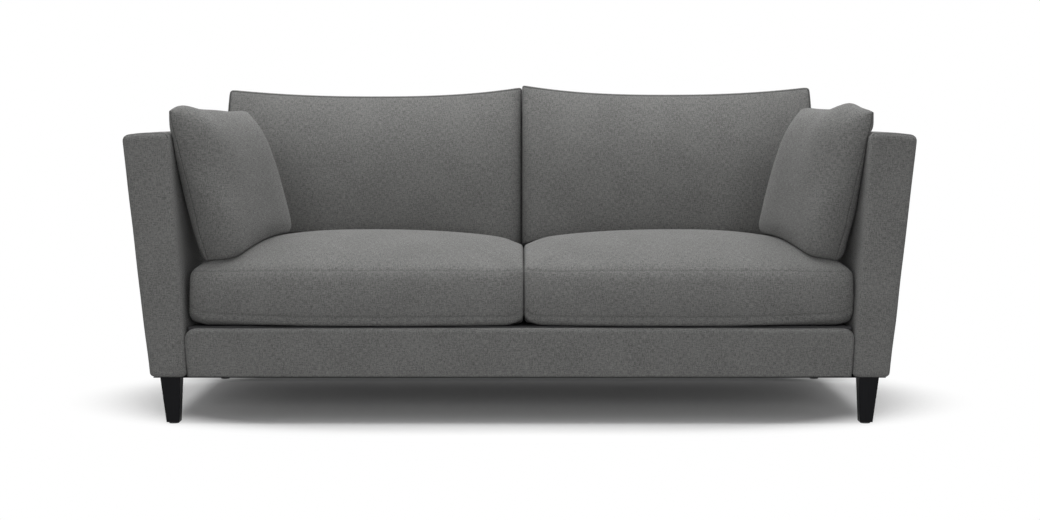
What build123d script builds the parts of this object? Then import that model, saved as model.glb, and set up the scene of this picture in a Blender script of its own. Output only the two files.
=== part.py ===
"""A sofa with splayed upholstered arms, loose cushions and tapered wooden legs.

Millimetres. +Z is up, the sofa faces -Y, and the origin is on the floor under its middle.
Left means -X. A left-hand piece is modelled once and mirrored for the right.
"""

import math
import os

from build123d import *

os.makedirs("parts", exist_ok=True)

# Overall sizes
overall_width = 2064.0  # across the tops of the arms, before their edges are rounded
overall_depth = 940.0  # arm fronts to the top of the back
arm_top = 765.0  # floor to the top of an arm
base = 124.0  # floor to the underside of the frame

# Arms and back lean out from their feet
arm_top_thick = 120.0
arm_foot_thick = 95.0
arm_foot_inset = 68.0  # how far the outside of an arm comes in at its foot
back_lean = 80.0  # how far the back leans over the height of an arm
pad = 18.0  # foam and fabric over the frame
lining = 4.5  # webbing and lining between the back frame and its padding
edge_round = 15.0  # soft edges of the upholstery
arm_gap = 2.0  # between an arm and the seat base bolted to it
rail_gap = 1.0

# Timber
rail_thick = 28.0
post_depth = 40.0
block_depth = 80.0  # a leg block, front to back
block_height = 45.0
board_thick = 3.0
top_rail_height = 50.0
side_rail_rise = 25.0  # a side rail is this much taller at the front
centre_rail_top = 185.0
corner_leg = 75.0  # a corner block, along each rail
corner_lift = 10.0

# Back frame and its covers
upright_width = 50.0
upright_places = (-838.0, -215.0, 215.0, 838.0)
back_frame_thick = 42.0
back_rail_top = 737.0
back_rail_half = 880.0
lower_rail = (270.0, 312.0)  # foot and top
back_top = 759.0
cover_gap = 2.0
cover_lift = 28.0  # foot of the inside back above the rear rail
lip_foot = 670.0  # where the inside back ends behind the top rail
lip_thick = 17.0
panel_thick = 15.0

# Seat base
border_setback = 11.0  # front border behind the arm fronts
border_thick = 24.0
border_top = 249.0
border_corner = 30.0
border_round = 10.0
border_gap = 1.5
seat_pitch = 2.5  # degrees, falling to the rear
seat_front = 256.0  # height of the seat platform at the border
platform_thick = 12.0
platform_gap = 2.0
rail_drop = 22.0  # rail tops below the platform's surface
spring_drop = 17.0  # spring wires below the platform's surface
dust_edge = 8.0  # dust cover inside the frame's edge
dust_thick = 1.5
dust_hole = 55.0  # cut round a leg

# Springs and webbing
spring_places = (110.0, 320.0, 530.0, 740.0)  # each side of the middle
spring_bars = 25
spring_bar_half = 18.0
spring_wire = 1.9  # radius
clip_size = (24.0, 14.0, 9.4)
tie_wire = 1.5  # radius
tie_wire_gap = 0.3
tie_wire_places = (290.0, 560.0)
strap_width = 60.0
strap_thick = 2.0
strap_count = 10
strap_pitch = 170.0
strap_gap = 0.2
strap_end = 5.0  # short of the rails' far edges

# Legs and their fixings
leg_x = 914.0  # leg centres at the top
leg_front_setback = 15.0
leg_top_size = 52.0
leg_toe_size = 34.0
leg_outer_taper = 15.5  # how far the outer and the rear face come in at the toe
leg_edge = 2.5
glide_height = 4.0
glide_radius = 13.0
nail_radius = 1.2
nail_length = 15.0
bolt_radius = 3.9  # M8 hanger bolts and arm bolts
bolt_hole = 4.2
bolt_foot = 80.0  # height of a hanger bolt's lower end
bolt_drop = 5.0  # its upper end below the top of the block
nut_barrel = 5.2
nut_flange = 11.0
nut_flange_thick = 1.5
nut_length = 15.0
arm_bolt_ys = (-290.0, -30.0, 210.0)
arm_bolt_reach = 66.0
bolt_head = (10.0, 6.0)  # radius, thickness
fit = 0.1  # clearance round bolts, nuts and nails
overcut = 1.0  # how far a cut runs past a face

# Cushion covers and their zips
cover_wall = 4.0  # cover with its fibre wrap
core_gap = 0.4
zip_length = 600.0
zip_width = 20.0
zip_thick = 1.8
slider_size = (16.0, 1.6, 9.0)

# Seat cushions
seat_gap = 2.0  # between the two
seat_side = 873.5  # outer side
seat_lift = 0.5  # clear of the platform
seat_rear = 775.0  # rear face behind the border
seat_front_set = 12.0  # middle of the front edge behind the border
seat_front_bow = 18.0  # and its ends further back
seat_bulge = 18.0  # how far the front face swells
seat_edge_height = 149.0
seat_edge_draw = 12.0  # how far the corners are pulled down
seat_crown = 73.0  # rise of the top at its middle
seat_side_crown = 8.0  # and along its sides
seat_crown_place = 0.45  # highest point, as a share of the depth
seat_zip_height = 70.0

# Back cushions
back_side = 884.0  # outer side
back_gap = 3.0  # between the two
back_clear = 2.0  # in front of the inside back
back_foot_rear = 6.0  # underside, up from the reference height
back_foot_front = 38.0
back_foot_thick = 150.0
back_belly = 186.0  # thickest part
back_belly_place = 0.45  # as a share of the height
back_slim = 0.3  # share of that thickness lost at the sides
back_top_thick = 66.0
back_top_draw = 16.0
back_edge_top = 888.0  # floor to the raised corners
back_sag = 20.0  # how far the top edge dips between its corners
back_zip_height = 90.0

# Scatter cushions
scatter_front_foot = (-840.0, -330.0, 421.0)  # corners of the left one
scatter_front_top = (-914.0, -445.0, 826.0)
scatter_rear_top = (-762.0, -78.0, 825.0)
scatter_rear_foot = (-683.0, 80.0, 471.5)
scatter_belly = 92.0  # fullest part in front of the corners
scatter_hollow = 52.0  # and behind them, where it is pressed to the arm
scatter_edge = 5.0  # half the thickness of an edge
scatter_edge_swell = 3.0
scatter_belly_drop = 0.1  # fullest part below the middle, as a share of the half height
scatter_waist = 0.06  # share of its half height drawn in between the corners

# Where each side of a cushion is drawn in, as a share of its half width
stations = (-1.0, -0.94, -0.65, 0.0, 0.65, 0.94, 1.0)

front_y = -overall_depth / 2
back_y = overall_depth / 2
border_y = front_y + border_setback
block_top = base + block_height
pitch = math.radians(seat_pitch)
recline = math.atan(back_lean / (arm_top - base))


def lean(foot, top, z):
    """A straight line from foot to arm top, read at height z."""
    return foot + (top - foot) * (z - base) / (arm_top - base)


def outer_x(z):
    """Outside of an arm."""
    return lean(overall_width / 2 - arm_foot_inset, overall_width / 2, z)


def inner_x(z):
    """Inside of an arm."""
    foot = overall_width / 2 - arm_foot_inset - arm_foot_thick
    return lean(foot, overall_width / 2 - arm_top_thick, z)


def rear_y(z):
    """Outside of the back."""
    return lean(back_y - back_lean, back_y, z)


def frame_y(z):
    """Front of the back frame's timber."""
    return rear_y(z) - pad - back_frame_thick


def inside_back_y(z):
    """Front of the padded inside back."""
    return frame_y(z) - pad - lining


def platform_z(y, below=0.0):
    """Height of the pitched seat platform, or of a layer that far below it."""
    return seat_front - math.tan(pitch) * (y - border_y) - below / math.cos(pitch)


# Local frames: seat (X, rearward, up from the platform) and back (X, up the back, forward from it)
seat_plane = Plane(
    origin=(0, border_y, seat_front), x_dir=(1, 0, 0), z_dir=(0, math.sin(pitch), math.cos(pitch))
)
back_ref = 400.0
back_plane = Plane(
    origin=(0, inside_back_y(back_ref), back_ref),
    x_dir=(1, 0, 0),
    z_dir=(0, -math.cos(recline), math.sin(recline)),
)


def save(part, node):
    """Labels a finished piece and writes its file."""
    part.label = node
    export_step(part, f"parts/{node}.step")


def save_pair(part, node):
    """Writes a left-hand piece and its mirror image."""
    save(part, f"{node}_left")
    with BuildPart() as right_hand:
        mirror(part, about=Plane.YZ)
    save(right_hand.part, f"{node}_right")


def tapered_block(low, high, z_low, z_high):
    """A block between two level rectangles, each (x min, x max, y min, y max)."""
    front = [(low[0], z_low), (low[1], z_low), (high[1], z_high), (high[0], z_high)]
    side = [(low[2], z_low), (low[3], z_low), (high[3], z_high), (high[2], z_high)]
    with BuildPart() as block:
        with BuildSketch(Plane.XZ):
            with BuildLine():
                Polyline(*front, close=True)
            make_face()
        extrude(amount=overall_depth, both=True)
        with BuildSketch(Plane.YZ):
            with BuildLine():
                Polyline(*side, close=True)
            make_face()
        extrude(amount=overall_width, both=True, mode=Mode.INTERSECT)
    return block.part


def bar_along_x(outline, x_start, x_end):
    """A straight bar along X with an outline of (y, z) points."""
    with BuildPart() as bar:
        with BuildSketch(Plane.YZ.offset(x_start)):
            with BuildLine():
                Polyline(*outline, close=True)
            make_face()
        extrude(amount=x_end - x_start)
    return bar.part


def slanted_outline(front, thick, z_low, z_high):
    """A (y, z) outline between two levels, whose front follows the function front."""
    return [
        (front(z_low), z_low),
        (front(z_low) + thick, z_low),
        (front(z_high) + thick, z_high),
        (front(z_high), z_high),
    ]


def between_arms(part, gap):
    """Trims a piece to the sloping insides of the two arms."""
    low, high = base, arm_top
    outline = [
        (-inner_x(low) + gap, low),
        (inner_x(low) - gap, low),
        (inner_x(high) - gap, high),
        (-inner_x(high) + gap, high),
    ]
    with BuildPart() as trimmed:
        add(part)
        with BuildSketch(Plane.XZ):
            with BuildLine():
                Polyline(*outline, close=True)
            make_face()
        extrude(amount=overall_depth, both=True, mode=Mode.INTERSECT)
    return trimmed.part


# Arm frames: posts, rails and thin boards inside the padded covers, on hardwood leg blocks
def arm_outline(z, inset):
    """The left arm's level outline at height z, drawn in by inset."""
    return (inset - outer_x(z), -inner_x(z) - inset, front_y + inset, rear_y(z) - inset)


def arm_member(z_low, z_high, y_span, x_span=None):
    """A member inside the left arm, between two levels; the spans give (min, max) at a height."""
    ends = []
    for z in (z_low, z_high):
        x_min, x_max, _, _ = arm_outline(z, pad)
        ends.append((*(x_span(z) if x_span else (x_min, x_max)), *y_span(z)))
    return tapered_block(ends[0], ends[1], z_low, z_high)


def at_front(depth):
    """Span of a member of that depth at the front of the arm."""
    return lambda z: (front_y + pad, front_y + pad + depth)


def at_rear(depth):
    """Span of a member of that depth at the rear of the arm."""
    return lambda z: (rear_y(z) - pad - depth, rear_y(z) - pad)


def between(depth):
    """Span between the front and rear members of that depth."""
    return lambda z: (front_y + pad + depth, rear_y(z) - pad - depth)


frame_top = arm_top - pad
arm_bolt_places = [(y, base + block_height / 2) for y in arm_bolt_ys]
leg_front_y = front_y + leg_front_setback + leg_top_size / 2
leg_rear_y = rear_y(base) - leg_front_setback - leg_top_size / 2
side_rail_out = inner_x(base) - arm_gap
side_rail_in = side_rail_out - rail_thick


def arm_bolt_holes(part):
    """Cuts the three arm bolt holes through a left-hand piece."""
    with BuildPart() as drilled:
        add(part)
        with Locations(*[(-side_rail_in - arm_bolt_reach / 2, y, z) for y, z in arm_bolt_places]):
            Cylinder(bolt_hole, arm_bolt_reach + 2 * overcut, rotation=(0, 90, 0), mode=Mode.SUBTRACT)
    return drilled.part


save_pair(arm_member(block_top, frame_top, at_front(post_depth)), "arm_front_post")
save_pair(arm_member(block_top, frame_top, at_rear(post_depth)), "arm_rear_post")
save_pair(arm_member(frame_top - top_rail_height, frame_top, between(post_depth)), "arm_top_rail")
save_pair(arm_bolt_holes(arm_member(base, block_top, between(block_depth))), "arm_bottom_rail")

board_span = (block_top, frame_top - top_rail_height, between(post_depth))
inner_board = arm_member(*board_span, lambda z: (-inner_x(z) - pad - board_thick, -inner_x(z) - pad))
outer_board = arm_member(*board_span, lambda z: (pad - outer_x(z), pad - outer_x(z) + board_thick))
with BuildPart() as arm_boards:
    add(inner_board)
    add(outer_board)
save_pair(arm_boards.part, "arm_boards")

# Leg blocks, T-nuts and hanger bolts at the four corners
leg_places = [(-leg_x, leg_front_y), (-leg_x, leg_rear_y)]

left_blocks = [
    arm_member(base, block_top, at_front(block_depth)),
    arm_member(base, block_top, at_rear(block_depth)),
]
with BuildPart() as leg_blocks:
    for block in left_blocks:
        add(block)
    with Locations(*[(x, y, block_top) for x, y in leg_places]):
        CounterBoreHole(nut_barrel + fit, nut_flange + 2 * fit, nut_flange_thick + fit)
    mirror(leg_blocks.part, about=Plane.YZ)
save(leg_blocks.part, "leg_blocks")

with BuildPart() as leg_t_nuts:
    top = (Align.CENTER, Align.CENTER, Align.MAX)
    with Locations(*[(x, y, block_top) for x, y in leg_places]):
        Cylinder(nut_barrel, nut_length, align=top)
        Cylinder(nut_flange, nut_flange_thick, align=top)
        Cylinder(bolt_radius + fit, nut_length, align=top, mode=Mode.SUBTRACT)
    mirror(leg_t_nuts.part, about=Plane.YZ)
save(leg_t_nuts.part, "leg_t_nuts")

with BuildPart() as leg_bolts:
    with Locations(*[(x, y, bolt_foot) for x, y in leg_places]):
        Cylinder(
            bolt_radius,
            block_top - bolt_foot - bolt_drop,
            align=(Align.CENTER, Align.CENTER, Align.MIN),
        )
    mirror(leg_bolts.part, about=Plane.YZ)
save(leg_bolts.part, "leg_bolts")

# Arm covers: foam and fabric pulled down over the arm frames, open underneath
arm_solid = tapered_block(arm_outline(base, 0), arm_outline(arm_top, 0), base, arm_top)
hollow_foot = base - overcut
arm_hollow = tapered_block(
    arm_outline(hollow_foot, pad), arm_outline(frame_top, pad), hollow_foot, frame_top
)
with BuildPart() as arm_cover:
    add(arm_solid)
    fillet(arm_cover.edges() - arm_cover.edges().group_by(Axis.Z)[0], edge_round)
    add(arm_hollow, mode=Mode.SUBTRACT)
save_pair(arm_bolt_holes(arm_cover.part), "arm_cover")

# Seat base: rails, corner blocks and the bolts that hold the arms on
front_rail_y = border_y + border_thick + rail_gap
rear_rail_top = platform_z(rear_y(base), rail_drop)
front_rail_outline = [
    (front_rail_y, base),
    (front_rail_y + rail_thick, base),
    (front_rail_y + rail_thick, platform_z(front_rail_y + rail_thick, rail_drop)),
    (front_rail_y, platform_z(front_rail_y, rail_drop)),
]
save(bar_along_x(front_rail_outline, -side_rail_out, side_rail_out), "front_rail")
rear_rail_outline = slanted_outline(frame_y, back_frame_thick, base, rear_rail_top)
save(bar_along_x(rear_rail_outline, -side_rail_out, side_rail_out), "rear_rail")

base_front = front_rail_y + rail_thick
base_rear = frame_y(base)
side_rail_outline = [
    (base_front, base),
    (base_rear, base),
    (base_rear, rear_rail_top),
    (base_front, rear_rail_top + side_rail_rise),
]
save_pair(
    arm_bolt_holes(bar_along_x(side_rail_outline, -side_rail_out, -side_rail_in)), "side_rail"
)
centre_rail_outline = [
    (base_front, base),
    (base_rear, base),
    (base_rear, centre_rail_top),
    (base_front, centre_rail_top),
]
save(bar_along_x(centre_rail_outline, -rail_thick / 2, rail_thick / 2), "centre_rail")

with BuildPart() as corner_blocks:
    for y, along in ((base_front, 1), (base_rear, -1)):
        corner = [
            (-side_rail_in, y),
            (-side_rail_in + corner_leg, y),
            (-side_rail_in, y + along * corner_leg),
        ]
        with BuildSketch(Plane.XY.offset(base + corner_lift)):
            with BuildLine():
                Polyline(*corner, close=True)
            make_face()
        extrude(amount=block_height)
    mirror(corner_blocks.part, about=Plane.YZ)
save(corner_blocks.part, "corner_blocks")

with BuildPart() as arm_bolts:
    with Locations(*[(-side_rail_in - arm_bolt_reach / 2, y, z) for y, z in arm_bolt_places]):
        Cylinder(bolt_radius, arm_bolt_reach, rotation=(0, 90, 0))
    with Locations(*[(-side_rail_in + bolt_head[1] / 2, y, z) for y, z in arm_bolt_places]):
        Cylinder(*bolt_head, rotation=(0, 90, 0))
    mirror(arm_bolts.part, about=Plane.YZ)
save(arm_bolts.part, "arm_bolts")

# Zigzag seat springs, clipped to the front and rear rails and tied across by two wires
spring_start = (front_rail_y + rail_thick / 2 - border_y) / math.cos(pitch)
spring_end = (frame_y(rear_rail_top) + back_frame_thick / 2 - border_y) / math.cos(pitch)
spring_bend = (spring_end - spring_start) / (spring_bars - 1) / 2
spring_plane = seat_plane.offset(-spring_drop)

with BuildPart() as spring:
    with BuildLine(spring_plane) as spring_path:
        for bar in range(spring_bars):
            side = 1 if bar % 2 == 0 else -1
            along = spring_start + 2 * spring_bend * bar
            reach = side * spring_bar_half
            Line((-reach, along), (reach, along))
            if bar < spring_bars - 1:
                ThreePointArc(
                    (reach, along),
                    (reach + side * spring_bend, along + spring_bend),
                    (reach, along + 2 * spring_bend),
                )
    with BuildSketch(Plane(origin=spring_path.line @ 0, z_dir=spring_path.line % 0)):
        Circle(spring_wire)
    sweep()

with BuildPart() as seat_springs:
    with Locations(*[(side * x, 0, 0) for x in spring_places for side in (-1, 1)]):
        add(spring.part)
save(seat_springs.part, "seat_springs")

clip_places = [
    spring_plane.location * Location((side * x, along, 0))
    for x in spring_places
    for side in (-1, 1)
    for along in (spring_start, spring_end)
]
with BuildPart() as spring_clips:
    with Locations(*clip_places):
        Box(*clip_size)
        Cylinder(spring_wire + 2 * fit, clip_size[0], rotation=(0, 90, 0), mode=Mode.SUBTRACT)
save(spring_clips.part, "spring_clips")

tie_places = [
    spring_plane.location * Location((0, along, -spring_wire - tie_wire - tie_wire_gap))
    for along in tie_wire_places
]
with BuildPart() as spring_tie_wires:
    with Locations(*tie_places):
        Cylinder(tie_wire, 2 * (side_rail_in - rail_gap), rotation=(0, 90, 0))
save(spring_tie_wires.part, "spring_tie_wires")

# Seat platform: felt and cloth over the springs
platform_front = border_thick + platform_gap
platform_rear = (inside_back_y(rear_rail_top) - border_y) / math.cos(pitch) - 2 * platform_gap
with BuildPart() as seat_platform:
    with BuildSketch(seat_plane):
        with Locations((0, (platform_front + platform_rear) / 2)):
            Rectangle(2 * (seat_side - platform_gap), platform_rear - platform_front)
    extrude(amount=-platform_thick)
save(seat_platform.part, "seat_platform")

# Front border: padded facing with rounded upper corners
with BuildPart() as front_border:
    with BuildSketch(Plane.XZ.offset(-border_y)) as border_face:
        with BuildLine():
            Polyline(
                (-inner_x(base) + border_gap, base),
                (inner_x(base) - border_gap, base),
                (inner_x(border_top) - border_gap, border_top),
                (-inner_x(border_top) + border_gap, border_top),
                close=True,
            )
        make_face()
        fillet(border_face.vertices().group_by(Axis.Y)[-1], border_corner)
    extrude(amount=-border_thick)
    front_edges = front_border.faces().sort_by(Axis.Y)[0].edges()
    fillet(front_edges - front_edges.group_by(Axis.Z)[0], border_round)
save(front_border.part, "front_border")

# Back frame: uprights on the rear rail, a top rail, lower rails and elastic webbing
back_rail_foot = back_rail_top - top_rail_height

upright_outline = slanted_outline(frame_y, back_frame_thick, rear_rail_top, back_rail_foot)
uprights = [
    bar_along_x(upright_outline, x - upright_width / 2, x + upright_width / 2)
    for x in upright_places
]
with BuildPart() as back_uprights:
    for upright in uprights:
        add(upright)
save(back_uprights.part, "back_uprights")

top_rail_outline = slanted_outline(frame_y, back_frame_thick, back_rail_foot, back_rail_top)
save(bar_along_x(top_rail_outline, -back_rail_half, back_rail_half), "back_top_rail")

lower_outline = slanted_outline(frame_y, back_frame_thick, *lower_rail)
lower_spans = [
    bar_along_x(lower_outline, start + upright_width / 2, end - upright_width / 2)
    for start, end in zip(upright_places, upright_places[1:])
]
with BuildPart() as back_lower_rails:
    for span in lower_spans:
        add(span)
save(back_lower_rails.part, "back_lower_rails")

strap_outline = slanted_outline(
    lambda z: frame_y(z) - strap_thick - strap_gap,
    strap_thick,
    lower_rail[0] + strap_end,
    back_rail_top - strap_end,
)
strap = bar_along_x(strap_outline, -strap_width / 2, strap_width / 2)
with BuildPart() as back_webbing:
    middle = (strap_count - 1) / 2
    with Locations(*[((n - middle) * strap_pitch, 0, 0) for n in range(strap_count)]):
        add(strap)
save(back_webbing.part, "back_webbing")

# Back cover: padded inside back that turns over the top rail, and the panel that closes the rear
cover_foot = rear_rail_top + cover_lift
rail_clear = lining - cover_gap
with BuildPart() as back_cover:
    with BuildSketch(Plane.YZ.offset(-overall_width / 2)) as back_profile:
        with BuildLine():
            Polyline(
                (inside_back_y(cover_foot), cover_foot),
                (inside_back_y(back_top), back_top),
                (rear_y(back_top), back_top),
                (rear_y(lip_foot), lip_foot),
                (rear_y(lip_foot) - lip_thick, lip_foot),
                (rear_y(back_rail_top) - lip_thick, back_rail_top + cover_gap),
                (frame_y(back_rail_top) - rail_clear, back_rail_top + cover_gap),
                (frame_y(cover_foot) - rail_clear, cover_foot),
                close=True,
            )
        make_face()
        fillet(back_profile.vertices().group_by(Axis.Y)[-1], edge_round)
    extrude(amount=overall_width)
save(between_arms(back_cover.part, rail_gap), "back_cover")

panel_outline = slanted_outline(
    lambda z: rear_y(z) - panel_thick, panel_thick, base, lip_foot - cover_gap
)
outside_panel = bar_along_x(panel_outline, -overall_width / 2, overall_width / 2)
save(between_arms(outside_panel, rail_gap), "outside_back_panel")

# Dust cover: thin black cloth under the frame, cut round the legs
with BuildPart() as dust_cover:
    with BuildSketch(Plane.XY.offset(base - dust_thick)):
        with Locations((0, (front_y + rear_y(base)) / 2)):
            Rectangle(2 * (outer_x(base) - dust_edge), rear_y(base) - front_y - 2 * dust_edge)
        with Locations(*[(side * x, y) for x, y in leg_places for side in (-1, 1)]):
            Rectangle(dust_hole, dust_hole, mode=Mode.SUBTRACT)
    extrude(amount=dust_thick)
save(dust_cover.part, "dust_cover")

# Legs: square taper, mostly on the outer and the rear face, on nailed glides
leg_half = leg_top_size / 2
small_taper = leg_top_size - leg_toe_size - leg_outer_taper
leg_top_outline = (
    -leg_x - leg_half,
    -leg_x + leg_half,
    leg_front_y - leg_half,
    leg_front_y + leg_half,
)
leg_toe_outline = (
    leg_top_outline[0] + leg_outer_taper,
    leg_top_outline[1] - small_taper,
    leg_top_outline[2] + small_taper,
    leg_top_outline[3] - leg_outer_taper,
)
toe_x = (leg_toe_outline[0] + leg_toe_outline[1]) / 2
toe_y = (leg_toe_outline[2] + leg_toe_outline[3]) / 2
front_to_rear = Plane(origin=(0, (leg_front_y + leg_rear_y) / 2, 0), z_dir=(0, 1, 0))

leg_blank = tapered_block(leg_toe_outline, leg_top_outline, glide_height, base)
with BuildPart() as front_leg:
    add(leg_blank)
    fillet(front_leg.edges().group_by(Axis.Z)[1], leg_edge)
    with Locations((-leg_x, leg_front_y, base)):
        Hole(bolt_radius + fit, depth=base - bolt_foot + overcut)
    with Locations(Location((toe_x, toe_y, glide_height), (180, 0, 0))):
        Hole(nail_radius + fit, depth=nail_length + overcut)
save_pair(front_leg.part, "leg_front")
with BuildPart() as rear_leg:
    mirror(front_leg.part, about=front_to_rear)
save_pair(rear_leg.part, "leg_rear")

with BuildPart() as leg_glides:
    foot = (Align.CENTER, Align.CENTER, Align.MIN)
    with Locations((toe_x, toe_y, 0)):
        Cylinder(glide_radius, glide_height, align=foot)
        Cylinder(nail_radius, glide_height + nail_length, align=foot)
    mirror(leg_glides.part, about=front_to_rear)
    mirror(leg_glides.part, about=Plane.YZ)
save(leg_glides.part, "leg_glides")


# Cushions: a crowned cover round a foam core. Each form is lofted across its width through outlines
# of lines and arcs, and is drawn in towards its sides.
def cover_of(form):
    """The cover's shell: a cushion's form, hollowed by the same form one wall smaller."""
    outer, inner = form(0.0), form(cover_wall)
    with BuildPart() as cover:
        add(outer)
        add(inner, mode=Mode.SUBTRACT)
    return cover.part


def core_of(form):
    """The foam core that fills a cover."""
    return form(cover_wall + core_gap)


seat_half = (seat_side - seat_gap / 2) / 2
seat_middle = -(seat_side + seat_gap / 2) / 2
seat_level = math.tan(pitch) * seat_rear  # the rear is taller, so the top is level


def seat_form(inset):
    """Left seat cushion: flat underneath, bowed front, crowned top."""
    with BuildPart() as cushion:
        for t in stations:
            drawn = t**8
            foot = seat_lift + inset
            front = seat_front_set + seat_front_bow * t**2 + seat_front_bow / 2 * drawn + inset
            edge = seat_edge_height - seat_edge_draw * drawn - inset
            rear = seat_rear - inset
            rear_edge = edge + seat_level
            side_crown = seat_edge_height + seat_level / 2 + seat_side_crown - inset
            crown = side_crown + seat_crown * (1 - t**2) ** 0.8
            place = Plane(
                origin=seat_plane.from_local_coords((seat_middle + (seat_half - inset) * t, 0, 0)),
                x_dir=seat_plane.y_dir,
                z_dir=(1, 0, 0),
            )
            with BuildSketch(place):
                with BuildLine():
                    Line((front, foot), (rear, foot))
                    Line((rear, foot), (rear, rear_edge))
                    ThreePointArc((rear, rear_edge), (rear * seat_crown_place, crown), (front, edge))
                    ThreePointArc((front, edge), (front - seat_bulge, edge / 2), (front, foot))
                make_face()
        loft()
    return cushion.part


back_half = (back_side - back_gap / 2) / 2
back_middle = -(back_side + back_gap / 2) / 2
back_rise = (back_edge_top - back_ref) / math.cos(recline)


def back_form(inset):
    """Left back cushion: flat behind, full in front, with raised top corners."""
    with BuildPart() as cushion:
        for t in stations:
            drawn = t**8
            slim = 1 - back_slim * t**4
            behind = back_clear + inset
            foot_behind = back_foot_rear + inset
            foot_front = back_foot_front + inset
            belly_foot = back_foot_thick * slim - inset
            belly = back_belly * slim - inset
            top_front = back_top_thick - back_top_draw * drawn - inset
            top = back_rise - back_sag * (1 - t**2) - inset
            place = Plane(
                origin=back_plane.from_local_coords((back_middle + (back_half - inset) * t, 0, 0)),
                x_dir=back_plane.z_dir,
                z_dir=(-1, 0, 0),
            )
            with BuildSketch(place):
                with BuildLine():
                    Line((behind, foot_behind), (belly_foot, foot_front))
                    ThreePointArc(
                        (belly_foot, foot_front),
                        (belly, back_belly_place * back_rise),
                        (top_front, top),
                    )
                    Line((top_front, top), (behind, top))
                    Line((behind, top), (behind, foot_behind))
                make_face()
        loft()
    return cushion.part


front_foot, front_top = Vector(*scatter_front_foot), Vector(*scatter_front_top)
rear_foot, rear_top = Vector(*scatter_rear_foot), Vector(*scatter_rear_top)
scatter_face = (rear_top - front_foot).cross(front_top - rear_foot).normalized()


def scatter_form(inset):
    """Left scatter cushion: full in the middle, thin at its edges, with pointed corners."""
    side_inset = inset / (rear_foot - front_foot).length
    with BuildPart() as cushion:
        for t in stations:
            along = 0.5 + t * (0.5 - side_inset)
            foot = front_foot + (rear_foot - front_foot) * along
            top = front_top + (rear_top - front_top) * along
            rise = (top - foot).normalized()
            half = (top - foot).length / 2 * (1 - scatter_waist * (1 - t**2)) - inset
            fullest = -scatter_belly_drop * half
            edge = scatter_edge - 0.6 * inset  # stays open at a point
            full = (1 - t**2) ** 0.75
            swollen = edge + scatter_edge_swell - 0.5 * inset
            belly = swollen + (scatter_belly - scatter_edge) * full
            hollow = swollen + (scatter_hollow - scatter_edge) * full
            across = (scatter_face - rise * scatter_face.dot(rise)).normalized()
            place = Plane(origin=(foot + top) / 2, x_dir=across, z_dir=across.cross(rise))
            with BuildSketch(place):
                with BuildLine():
                    Line((-edge, -half), (edge, -half))
                    ThreePointArc((edge, -half), (belly, fullest), (edge, half))
                    Line((edge, half), (-edge, half))
                    ThreePointArc((-edge, half), (-hollow, fullest), (-edge, -half))
                make_face()
        loft()
    return cushion.part


# Zips: a tape in a slot of the cover's rear wall, with a slider that runs along it
def zip_window(part, place):
    """Opens a cover's rear wall for its zip."""
    with BuildPart() as opened:
        add(part)
        with Locations(place):
            Box(zip_length, cover_wall + overcut, zip_width, mode=Mode.SUBTRACT)
    return opened.part


def zip_tape(place):
    """The closed zip, sunk in the rear wall."""
    with BuildPart() as tape:
        with Locations(place * Location((0, -cover_wall / 2 + zip_thick / 2 + fit, 0))):
            Box(zip_length, zip_thick, zip_width)
    return tape.part


def zip_slider(place):
    """The slider at the closed end of its zip."""
    with BuildPart() as slider:
        start = -zip_length / 2 + slider_size[0]
        with Locations(place * Location((start, cover_wall / 2 - slider_size[1] / 2 - 2 * fit, 0))):
            Box(*slider_size)
    return slider.part


seat_zip_place = seat_plane.location * Location(
    (seat_middle, seat_rear - cover_wall / 2, seat_zip_height)
)
back_zip_place = back_plane.location * Location(
    (back_middle, back_zip_height, back_clear + cover_wall / 2), (-90, 0, 0)
)

save_pair(zip_window(cover_of(seat_form), seat_zip_place), "seat_cushion_cover")
save_pair(core_of(seat_form), "seat_cushion_core")
save_pair(zip_tape(seat_zip_place), "seat_zip")
save_pair(zip_slider(seat_zip_place), "seat_zip_slider")

save_pair(zip_window(cover_of(back_form), back_zip_place), "back_cushion_cover")
save_pair(core_of(back_form), "back_cushion_core")
save_pair(zip_tape(back_zip_place), "back_zip")
save_pair(zip_slider(back_zip_place), "back_zip_slider")

save_pair(cover_of(scatter_form), "scatter_cover")
save_pair(core_of(scatter_form), "scatter_core")
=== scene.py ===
import math

import bmesh
import bpy
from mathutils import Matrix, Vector, kdtree, noise
from mathutils.bvhtree import BVHTree


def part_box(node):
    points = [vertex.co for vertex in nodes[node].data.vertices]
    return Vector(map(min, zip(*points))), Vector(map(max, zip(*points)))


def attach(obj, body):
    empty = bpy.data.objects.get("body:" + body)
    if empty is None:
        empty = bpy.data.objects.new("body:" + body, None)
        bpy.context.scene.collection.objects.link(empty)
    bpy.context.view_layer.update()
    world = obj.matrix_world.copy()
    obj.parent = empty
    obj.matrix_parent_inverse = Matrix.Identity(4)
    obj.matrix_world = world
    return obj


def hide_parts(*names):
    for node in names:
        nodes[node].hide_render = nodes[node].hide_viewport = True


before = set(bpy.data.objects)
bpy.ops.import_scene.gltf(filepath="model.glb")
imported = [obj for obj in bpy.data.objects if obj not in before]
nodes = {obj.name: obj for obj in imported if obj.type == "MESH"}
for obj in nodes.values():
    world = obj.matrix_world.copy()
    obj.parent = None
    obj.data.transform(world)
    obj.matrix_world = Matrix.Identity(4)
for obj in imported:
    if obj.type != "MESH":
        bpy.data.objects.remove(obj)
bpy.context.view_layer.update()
scene = bpy.context.scene


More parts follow.
